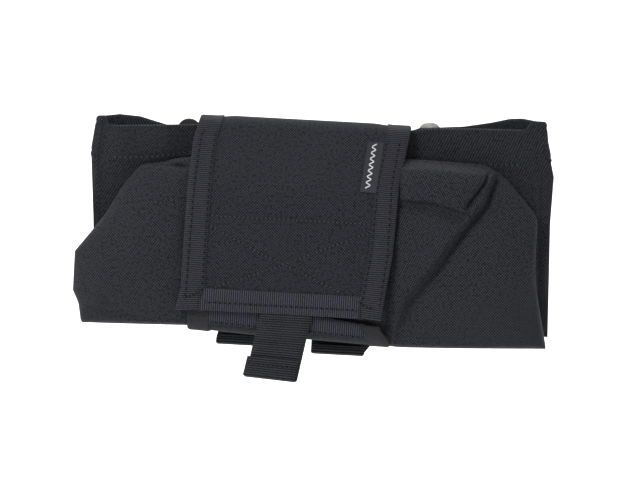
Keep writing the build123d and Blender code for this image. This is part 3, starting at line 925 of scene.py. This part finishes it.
# ---------------------------------------------------------------- pull tab
tab_face = tab_high[1] - web
tab_foot = tab_low[2] + 1.4
tab_line = [(tab_face + web / 2, flap_end + 1.0), (tab_face + web / 2, tab_foot),
            (tab_face - web / 2 - 0.05, tab_foot), (tab_face - web / 2 - 0.05, tab_foot + 9.8)]
tab_path = rounded(tab_line, [0.8, 0.8], 0.3)[::-1]
tab_share = np.clip((flap_end - tab_path[:, 1]) / (flap_end - tab_low[2]), 0, 1)
folded = ramp(-tab_path[:, 0], -(tab_face + 0.2), -(tab_face - 0.6))
tab_middle = -4.7 - 5.5 * tab_share - 1.3 * folded
tab = webbing_along("tab_webbing", tab_path, tab_middle)
tilt = np.array([v.co.x / MM for v in tab.data.vertices]) + 7.0
for vertex, across_x in zip(tab.data.vertices, tilt):
    depth = min(1.0, max(0.0, (flap_end - vertex.co.z / MM) / 30.0))
    vertex.co.z -= 0.055 * across_x * depth * MM
    vertex.co.y -= 0.9 * MM * depth * math.sin(across_x / 14.0)
dress(tab, webbing, None, ["pull_tab"])
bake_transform(tab)


# ---------------------------------------------------------------- bag mouth: one sleeve with a rolled hem
wall = 1.4
front_rim = np.array([(-98, 51), (-95.5, 47.5), (-92, 47), (-47, 50), (46, 50), (58, 53.5), (75, 54.5),
                      (106.5, 55.5), (110.5, 60), (113, 60)])
back_rim = np.array([(-98, 51.5), (-92, 52.5), (-82, 52), (-68, 48.5), (-57, 48.5), (-48, 50), (45, 50), (55, 53.5),
                     (77, 55.5), (90, 58), (100, 60.5), (106, 61), (113, 60)])
bag_left_edge = np.array([(52, -102.5), (31, -105), (0, -102.5), (-46, -99.5)])
bag_right_edge = np.array([(61, 117.5), (50, 119), (33, 123.5), (10, 123), (-46, 125)])
side_tuck = [(-86, 12), (-98, 20), (-108, 23.5)]
bag_floor = bag_low[2]
back_face = bag_high[1]
rest_gap = 6.0


def hem_depth(x):
    """The hem is shallowest beside the flap."""
    return 15.3 + 2.3 * ramp(-x, 52, 76) + 4.0 * ramp(x, 0, 90)


def mouth_gap(x):
    """Clear depth of the mouth: pinched beside the flap, open towards each end."""
    left = ramp(-x, 58, 70) * (1 - ramp(-x, 88, 101))
    right = ramp(x, 62, 88) * (1 - ramp(x, 107, 115))
    return 1.6 + 5.4 * np.maximum(left, right)


def rim_place(share):
    """Where a share of the mouth's length lies."""
    return front_rim[0][0] + (front_rim[-1][0] - front_rim[0][0]) * share


def sleeve_plan():
    """Stations round the sleeve: its side, its share or angle along it, and the height of its rim."""
    shares = np.linspace(0, 1, 250)
    turn = np.linspace(0, math.pi, 14)[1:-1]
    front = np.interp(rim_place(shares), *front_rim.T)
    back = np.interp(rim_place(shares[::-1]), *back_rim.T)
    right = np.interp(turn, [0, math.pi], [front_rim[-1][1], back_rim[-1][1]])
    left = np.interp(turn, [0, math.pi], [back_rim[0][1], front_rim[0][1]])
    side = np.concatenate([np.full(len(k), n) for n, k in enumerate((shares, turn, shares, turn))])
    return side, np.concatenate([shares, turn, shares[::-1], turn]), np.concatenate([front, right, back, left])


def sleeve_place(side, t, z, top, inset):
    """Where the sleeve's surface is at each station, at height z and set in from its outer face."""
    left = np.interp(-z, -bag_left_edge[:, 0], bag_left_edge[:, 1])
    right = np.interp(-z, -bag_right_edge[:, 0], bag_right_edge[:, 1])
    high = ramp(z, top - 40, top - 4)
    x = np.select([side == 1, side == 3], [right - 4.4, left + 4.4], left + 4.4 + (right - left - 8.8) * t)
    gap = rest_gap * (1 - high) + mouth_gap(x) * high
    half = wall + gap / 2 - inset
    middle = back_face - wall - rest_gap / 2
    narrow = 0.25 + 0.75 * ramp(z, bag_floor, bag_floor + 5)
    dent = 0.7 * ripple(x, z, 17, 21) + 0.35 * ripple(x, z, 8, 22) - 0.4
    dent = dent + 0.9 * np.sin((z - 30) / 9.0) * ramp(abs(x), 52, 64)
    d_tuck, s_tuck = to_line(x, z, side_tuck)
    sunken = 1.6 * ramp(d_tuck * s_tuck, -0.3, 1.0) + 2.6 * ramp(d_tuck * s_tuck, 0.0, 15.0)
    dent = dent - sunken * (x < -70) * ramp(z, -30, 4)
    dent = dent - 1.6 * ramp(x - right, -7.4, -6.2) * (1 - ramp(z, 30, 44))
    dent = dent * (1 - ramp(-x, 90, 97) * ramp(z, 20, 26)) * ramp(abs(x), 50, 60)
    front_y = middle - half * narrow - dent
    end = wall + 2.6 - inset
    end_x = np.where(side == 1, right - 4.4 + end * np.sin(t), left + 4.4 - end * np.sin(t))
    facing = np.where(side == 1, -1, 1) * np.cos(t)
    end_y = middle + facing * half * narrow - dent * np.maximum(-facing, 0)
    y = np.where(side == 0, front_y, np.where(side == 2, middle + half * narrow, end_y))
    return np.where(side % 2 == 0, x, end_x), y


def sleeve():
    """The bag's upper part: inner face, rolled rim, outer face with its hem, and both feet joined up."""
    side, t, top = sleeve_plan()
    around = len(side)
    thick = wall + 0.8
    grid, weave = [], []
    profile = [("in", s) for s in np.linspace(0, 1, 40)]
    profile += [("rim", t) for t in np.linspace(0.12, math.pi - 0.12, 9)]
    profile += [("out", s) for s in np.linspace(0, 1, 96)]
    for kind, s in profile:
        crest = top - thick / 2
        if kind == "in":
            z = bag_floor + 2.0 + (crest - bag_floor - 2.0) * s
            inset = np.full(around, wall + 0.35 * (s > 0.8))
        elif kind == "rim":
            z = crest + thick / 2 * math.sin(s)
            inset = np.full(around, (wall - 0.8) / 2 + 0.18 + thick / 2 * math.cos(s))
        else:
            z = crest - (crest - bag_floor) * s
            drop = top - z
            hem = hem_depth(rim_place(t))
            inset = (0.45 * np.exp(-((drop - hem + 1.8) / 0.8) ** 2) + 0.3 * np.exp(-((drop - 3.2) / 0.7) ** 2)
                     - 0.8 * (1 - ramp(drop, hem - 0.6, hem + 0.9)))
        x, y = sleeve_place(side, t, z, top, inset)
        grid.append(np.stack([x, y, z], 1))
        weave.append(np.stack([np.arange(around) * 0.9 + 0.35 * z, z], 1))
    faces = grid_faces(len(profile), around, closed=True)
    run, turn = int((side == 0).sum()), int((side == 1).sum())
    for start in (0, (len(profile) - 1) * around):
        behind = start + 2 * run + turn - 1
        faces += [(start + j, start + j + 1, behind - j - 1, behind - j) for j in range(run - 1)]
        faces.append(tuple(start + run - 1 + k for k in range(turn + 2)))
        faces.append(tuple(behind + k for k in range(turn + 1)) + (start,))
    return upright(mesh_object("bag_sleeve", np.vstack(grid), faces, np.vstack(weave), 45))


bag_sleeve = sleeve()
# the sleeve wears the darker copy of the bag cloth: painted shade
dress(bag_sleeve, shaded_hem_cloth, "root",
      ["bag_front_wall", "bag_back_wall", "bag_side_left", "bag_side_right", "bag_floor_strip",
       "mouth_hem_front", "mouth_hem_back"])


# ---------------------------------------------------------------- folded bag under the flap
roll_top = smooth_line([(-109.5, -15.5), (-95.5, 3.5), (-88, 17), (-81, 26.5), (-77, 29), (-70, 30), (-54, 33.5),
                        (0, 36), (50, 38), (81, 37.5), (91, 36), (99, 31), (111, 18), (115.2, 11), (115.6, -4),
                        (117, -22), (123, -50)], 0.7)
roll_foot = smooth_line([(-109.5, -34.5), (-106, -42), (-104.5, -49.5), (-97, -50), (-46, -48.5), (0, -47),
                         (40, -49.5), (46, -53.5), (66, -53.5), (123, -51)], 0.7)
roll_outline = np.vstack([roll_top[::3], roll_top[-1:], roll_foot[::-3], roll_foot[:1], roll_top[:1]])
band_foot = [(40, 18), (62, 18), (72, 15.5), (79, 13)]
tip_curl = [(95.5, 35), (92.5, 35), (90, 34), (87.5, 28), (80.5, 17), (78.5, 13)]
ridge_side = [(93.5, 33.5), (90, 26), (88, 19.5), (84.5, 14.5)]
valley = ridge_side[-1:] + [(77, 4.5), (65, -14), (53.5, -29.5), (49.5, -44), (48.5, -50)]
foot_fold = [(-99, -42.5), (-76, -45), (-54, -46)]
pocket = [(-70, 29.5), (-56, 28), (-46, 27)]
base_depth = [(-52, -35.5), (-45, -36.6), (-30, -37.6), (-5, -37.2), (15, -34.0), (28, -31.6),
              (34, -29.4), (38, -25.5)]
roll_edge_y = -21.5


def arc(share):
    share = np.clip(share, 0, 1)
    return np.sqrt(1 - (1 - share) ** 2)


def fold_relief(x, z):
    """How far each fold stands out of the roll's smooth face."""
    d_band, s_band = to_line(x, z, band_foot)
    d_curl, s_curl = to_line(x, z, tip_curl)
    d_edge, s_edge = to_line(x, z, ridge_side + valley[1:])
    above = ramp(d_band * s_band, -0.7, 0.9)
    inside_curl = ramp(-d_curl * s_curl, -0.6, 1.0) * ramp(z, 12, 15)
    width = np.interp(z, [-40, 10, 20], [3.0, 1.2, 0.8])
    left_of_edge = ramp(-d_edge * s_edge / width, -1.0, 1.0)
    right_side = ramp(x, 30, 44)
    band = above * inside_curl * ramp(z, 11, 14)
    dip = np.exp(-((d_band * s_band + 2.0) / 2.4) ** 2) * (1 - ramp(x, 78, 83)) * left_of_edge
    curl = np.exp(-(d_curl / 1.2) ** 2) * ramp(z, 13, 17)
    turn = np.exp(-(d_curl / 5.0) ** 2) * (s_curl < 0) * ramp(z, 13, 18)
    shadow = np.exp(-((d_edge * s_edge - 2.0) / (0.7 + width * 0.7)) ** 2)
    sink = np.exp(-((d_edge * s_edge - 7.0) / 6.0) ** 2) * (s_edge > 0)
    crest = np.exp(-((d_edge * s_edge + 3.4) / 2.6) ** 2) * ramp(z, 10, 16)
    fade = np.interp(z, [-52, -38, 0], [0.35, 0.85, 1.0])
    right = (3.8 * left_of_edge * fade + (2.2 + 1.7 * ramp(z, 20, 33)) * band - 2.4 * dip
             - 2.4 * curl - 1.8 * turn - 2.3 * shadow * fade
             - 0.8 * sink * fade + 1.0 * crest)
    d_pocket, s_pocket = to_line(x, z, pocket)
    behind = ramp(d_pocket * s_pocket, -0.8, 0.8) * (1 - ramp(x, -30, -20)) * ramp(x, -70, -66) * ramp(z, 26, 28)
    left = -2.6 * behind - 2.2 * np.exp(-(d_pocket / 1.0) ** 2) * ramp(x, -70, -64)
    crease = [(-92, -37.5), (-80, -44), (-74, -48)]
    d_crease, s_crease = to_line(x, z, crease)
    left -= (0.9 * np.exp(-(d_crease / 1.6) ** 2)
             + 0.5 * ramp(-d_crease * s_crease, 0, 3) * (x < -60) * ramp(-z, 30, 38))
    d_hem, s_hem = to_line(x, z, foot_fold)
    left -= 0.8 * np.exp(-(d_hem / 0.9) ** 2) - 0.7 * ramp(d_hem * s_hem, 0.5, 3.0)
    slack = [(-52, 4), (-66, -6), (-84, -22), (-100, -33)]
    d_slack, s_slack = to_line(x, z, slack)
    left += 1.3 * np.exp(-(d_slack / 11.0) ** 2)
    return right * right_side + left * (1 - right_side)


def roll_front(x, z):
    """Depth of the folded bag's front face."""
    d_outline, _ = to_line(x, z, roll_outline)
    base = np.interp(z, *np.array(base_depth).T)
    lobe = np.interp(x, [-108, -97, -80, -60, 45, 88, 106, 121], [0.50, 0.74, 0.93, 1, 1, 0.97, 0.86, 0.58])
    bulge = (roll_edge_y - base) * lobe
    tight = 0.3 + 0.4 * (1 - ramp(z, -48, -30))
    edge = tight * arc(d_outline / 2.6) + (1 - tight) * arc(d_outline / 22.0) ** 1.1
    beside_flap = np.maximum(ramp(-x, 50, 60), ramp(x, 42, 52))
    soft = 0.9 * ripple(x, z, 27, 31) + 0.45 * ripple(x, z, 12, 32) + 0.12 * ripple(x, z, 5, 33)
    relief = (fold_relief(x, z) * ramp(d_outline, 0.0, 5.0) + soft * ramp(d_outline, 0.0, 4.0)) * beside_flap
    return np.minimum(roll_edge_y - bulge * edge - relief, roll_edge_y - np.minimum(d_outline, 0.6))


def cloth_angle(x, z):
    """Direction of the weave on each facet of the roll."""
    d_band, s_band = to_line(x, z, band_foot)
    d_edge, s_edge = to_line(x, z, ridge_side + valley[1:])
    d_curl, s_curl = to_line(x, z, tip_curl)
    right_panel = s_edge > 0
    band = (s_band > 0) & (s_curl < 0) & (z > 13)
    strip = ~right_panel & (s_curl > 0) & (z > 13)
    right = np.where(right_panel, 5.0, np.where(band, -14.0, np.where(strip, 30.0, 20.0)))
    return np.radians(np.where(x < 44, 11.0, right))


def folded_bag():
    xs = np.concatenate([roll_low_x + 4 * (1 - np.cos(np.linspace(0, math.pi / 2, 9))),
                         np.arange(roll_low_x + 4.6, 113.0, 0.8), np.linspace(113.0, roll_high_x, 34)])
    shares = 0.5 - 0.5 * np.cos(np.linspace(0.0, math.pi, 60))
    shares = 0.35 * shares + 0.65 * np.linspace(0, 1, 60)
    shares = np.unique(np.concatenate([shares, [0.003, 0.008, 0.992, 0.997], np.arange(0.02, 0.99, 0.009)]))
    top = np.interp(xs, roll_top[:, 0], roll_top[:, 1])
    foot = np.interp(xs, roll_foot[:, 0], roll_foot[:, 1])
    x = np.broadcast_to(xs[None, :], (len(shares), len(xs)))
    z = foot[None, :] + (top - foot)[None, :] * shares[:, None]
    front = roll_front(x, z)
    border = np.zeros(x.shape, bool)
    border[[0, -1], :] = True
    border[:, [0, -1]] = True
    front = np.where(border, roll_edge_y, front)
    d_outline, _ = to_line(x, z, roll_outline)
    back = roll_edge_y + (roll_back - roll_edge_y) * arc(d_outline / 4.0)
    back = np.where(border, roll_edge_y, back)
    angle = cloth_angle(x, z)
    weave = np.stack([x * np.cos(angle) + z * np.sin(angle), z * np.cos(angle) - x * np.sin(angle)], 2)
    outer, inner = np.stack([x, front, z], 2), np.stack([x, back, z], 2)
    rows, columns = x.shape
    count = rows * columns
    points = np.vstack([outer.reshape(-1, 3), inner.reshape(-1, 3)])
    number = np.arange(2 * count)
    number[count:][border.ravel()] = np.arange(count)[border.ravel()]
    faces = []
    for quad in grid_faces(rows, columns) + grid_faces(rows, columns, count, flip=True):
        corners = tuple(int(number[k]) for k in quad)
        faces.append(corners)
    used = np.unique(np.array(faces))
    renumber = np.full(2 * count, -1)
    renumber[used] = np.arange(len(used))
    faces = [tuple(int(renumber[k]) for k in quad) for quad in faces]
    flat = np.vstack([weave.reshape(-1, 2)] * 2)
    return upright(mesh_object("folded_bag", points[used], faces, flat[used], 50))


roll_low_x, roll_high_x = roll_top[0][0], roll_top[-1][0]
roll_back = box_mm("roll_core")[1][1]
bag_folds = folded_bag()
dress(bag_folds, bag_cloth, "root", ["roll_core", "bag_lobe_left", "bag_lobe_right"])


# ---------------------------------------------------------------- seams
def on_flap_face(x, z, lift=0.05):
    """A point and its outward direction on the flap's front."""
    y = np.interp(-np.asarray(z), -flap_path[:, 1], flap_path[:, 0])
    slope = (np.interp(-(z + 0.5), -flap_path[:, 1], flap_path[:, 0])
             - np.interp(-(z - 0.5), -flap_path[:, 1], flap_path[:, 0]))
    outward = np.stack([np.zeros(len(x)), -np.ones(len(x)), slope], 1)
    outward /= np.linalg.norm(outward, axis=1, keepdims=True)
    place = np.stack([x, y - flap_shift(x, z), z], 1)
    return place + outward * lift, outward


def flap_seam(line, lift=0.05):
    line = spread(line, 1.0)
    return on_flap_face(line[:, 0], line[:, 1], lift)


box_runs = [flap_seam(line) for line in box_seams]
# the box stitch takes the lighter thread: a painted highlight
dress(stitches("flap_box_stitch", box_runs, pitch=2.15), highlighted_thread, "flap")

tape_runs = []
for edge, inward, wander in ((left_edge, 1, (2.0, 3.0)), (right_edge, -1, (1.4, 3.7))):
    zs = np.arange(flap_end + 8.0, flap_top - 6.0, 1.0)
    for inset in (np.interp(zs, [-25, 48], wander), tape_show - 1.0):
        tape_runs.append(on_flap_face(edge_x(edge, zs) + inward * inset, zs, tape_lift + 0.02))
dress(stitches("flap_tape_stitch", tape_runs, pitch=3.0), tape_thread, "flap")
xs = np.arange(left_edge[-1][1] + tape_show + 2, right_edge[-1][1] - tape_show, 1.0)
end_zs = flap_end + 3.4 + flap_lift(xs, flap_end)
end_place = np.stack([xs, front_y(xs, end_zs) - tape_lift - 0.04, end_zs], 1)
end_row = [(end_place, np.tile([0.0, -1.0, 0.0], (len(xs), 1)))]
dress(stitches("flap_end_stitch", end_row, pitch=2.45), tape_thread, "flap")
bar_runs = [flap_seam(line, tape_lift + 0.06) for line in
            ([(-54.2, -33.7), (-50.4, -32.6), (-46.4, -30.6)], [(29.6, -31.2), (32.6, -33.2), (37.0, -34.4)])]
dress(stitches("flap_bar_stitch", bar_runs, pitch=1.7, radius=0.4), tape_thread, "flap")


def rim_seam(rim, xs, drop, y_of):
    zs = np.interp(xs, *rim.T) - drop
    outward = np.tile([0.0, -1.0, 0.0], (len(xs), 1))
    return np.stack([xs, [y_of(x, z) for x, z in zip(xs, zs)], zs], 1), outward


def surface_y(piece, facing):
    """Looks up the depth of a piece's face at a place, seen from facing."""
    tree = BVHTree.FromPolygons([v.co.copy() for v in piece.data.vertices],
                                [tuple(p.vertices) for p in piece.data.polygons])

    def depth(x, z):
        hit = tree.ray_cast(Vector((x * MM, facing * 0.2, z * MM)), Vector((0, -facing, 0)))
        return hit[0].y / MM if hit[0] else facing * 10.0

    return depth


sleeve_front = surface_y(bag_sleeve, FRONT)
sleeve_back = surface_y(bag_sleeve, BACK)
rim_runs = []
hem_front = []
for low, high in ((-94.0, -52.5), (50.5, 106.0)):
    xs = np.arange(low, high, 1.0)
    rim_runs.append(rim_seam(front_rim, xs, 0.45, lambda x, z: sleeve_front(x, z) - 0.02))
    hem_front.append(rim_seam(front_rim, xs, hem_depth(xs) - 1.8, lambda x, z: sleeve_front(x, z) - 0.05))
# the pale row just under the front rim's top edge is a painted highlight
dress(stitches("rim_highlight_stitch", rim_runs, pitch=1.5, radius=0.17), rim_highlight_thread, "root")
# the front hem stitch takes the lighter thread: a painted highlight
dress(stitches("hem_stitch_front", hem_front), highlighted_thread, "root")
hem_runs = []
for low, high in ((-95.0, -54.0), (51.0, 109.0)):
    xs = np.arange(low, high, 1.0)
    points, outward = rim_seam(back_rim, xs, hem_depth(xs) - 1.8, lambda x, z: sleeve_back(x, z) + 0.05)
    hem_runs.append((points, -outward))
dress(stitches("hem_stitch_back", hem_runs), tape_thread, "root")

panel_runs = []
for edge, inward in ((panel_left, 1), (panel_right, -1)):
    path = panel_path[(panel_path[:, 1] < 47) & (panel_path[:, 0] > -6)]
    for inset in (2.6, panel_tape_show - 2.4):
        place = panel_point(path, edge + inward * inset, tape_lift + 0.03)
        normal = run_normals(path, 1)
        panel_runs.append((place, np.stack([np.zeros(len(path)), normal[:, 0], normal[:, 1]], 1)))
dress(stitches("panel_tape_stitch", panel_runs), tape_thread, "root")
xs = np.arange(tongue_xs[0] + 1, tongue_xs[-1] - 1, 1.0)
seam_z = tongue_top - 8.4
place = np.stack([xs, np.full(len(xs), tongue_front - tape_lift - 0.04), seam_z + tongue_sag(xs, seam_z)], 1)
tongue_run = [(place, np.tile([0.0, -1.0, 0.0], (len(xs), 1)))]
dress(stitches("tongue_stitch", tongue_run), tape_thread, "root")

tab_front = surface_y(tab, FRONT)
tab_xs = np.arange(-21.0, 1.4, 1.0)
tab_zs = tab_foot + 6.2 - 0.055 * (tab_xs + 7.0)
tab_place = np.stack([tab_xs, [tab_front(x, z) - 0.03 for x, z in zip(tab_xs, tab_zs)], tab_zs], 1)
tab_run = [(tab_place, np.tile([0.0, -1.0, 0.0], (len(tab_xs), 1)))]
dress(stitches("tab_stitch", tab_run, pitch=2.3), tape_thread, "pull_tab")

back_runs = []
for row in ("upper", "lower"):
    low, high = box_mm(f"webbing_row_{row}")
    face = high[1] + 0.03
    for x in (low[0] + 2.0, -1.8, high[0] - 2.0):
        zs = np.arange(low[2] + 1.5, high[2] - 1.5, 1.0)
        for shift_x in (-0.7, 0.7):
            place = np.stack([np.full(len(zs), x + shift_x), np.full(len(zs), face), zs], 1)
            back_runs.append((place, np.tile([0.0, 1.0, 0.0], (len(zs), 1))))
dress(stitches("row_stitch", back_runs, pitch=1.9), tape_thread, "root")

for side in ("left", "right"):
    low, high = box_mm(f"strap_anchor_{side}")
    face = high[1] + 0.03
    corners = [(low[0] + 2.2, low[2] + 2.0), (high[0] - 2.2, low[2] + 2.0), (high[0] - 2.2, high[2] - 2.0),
               (low[0] + 2.2, high[2] - 2.0), (low[0] + 2.2, low[2] + 2.0), (high[0] - 2.2, high[2] - 2.0)]
    flat = spread(corners, 1.0)
    place = np.stack([flat[:, 0], np.full(len(flat), face), flat[:, 1]], 1)
    anchor_run = [(place, np.tile([0.0, 1.0, 0.0], (len(flat), 1)))]
    dress(stitches(f"anchor_stitch_{side}", anchor_run, pitch=2.3), tape_thread, "root")
    strap_low, strap_high = box_mm(f"strap_{side}")
    xs = np.arange(strap_low[0] + 2.0, strap_high[0] - 2.0, 1.0)
    end_face = surface_y(bpy.data.objects[f"strap_webbing_{side}"], BACK)
    place = np.stack([xs, [end_face(x, strap_low[2] + 8.0) + 0.03 for x in xs],
                      np.full(len(xs), strap_low[2] + 8.0)], 1)
    end_run = [(place, np.tile([0.0, 1.0, 0.0], (len(xs), 1)))]
    dress(stitches(f"strap_end_stitch_{side}", end_run, pitch=2.3), tape_thread,
          f"strap_{side}")
